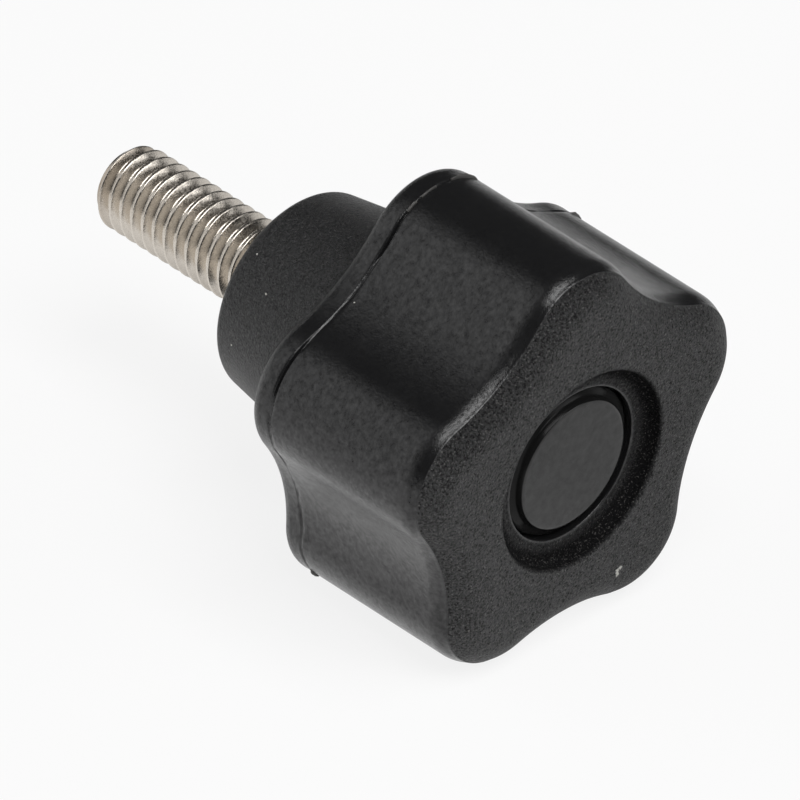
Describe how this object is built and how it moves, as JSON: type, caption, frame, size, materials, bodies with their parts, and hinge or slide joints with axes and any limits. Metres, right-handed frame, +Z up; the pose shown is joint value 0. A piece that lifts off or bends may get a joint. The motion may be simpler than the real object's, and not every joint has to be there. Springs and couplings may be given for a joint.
{
  "type": "star knob",
  "caption": "Black moulded star knob with rounded lobes, a conical hub and a stainless threaded stud, for clamping or adjusting by hand.",
  "frame": {"origin": "centre of the hub's end face, where the stud leaves the moulding, on the knob's axis", "axes": "+Y along the stud, towards its tip; -Y is the front face; +Z up, with one lobe pointing up"},
  "size_m": [0.0278, 0.0413, 0.027],
  "materials": {
    "grip_plastic": "matte",
    "cap_plastic": "satin",
    "stud_steel": "satin"
  },
  "bodies": {
    "root": {"star_grip": "grip_plastic", "centre_cap": "cap_plastic", "threaded_stud": "stud_steel"}
  },
  "joints": []
}
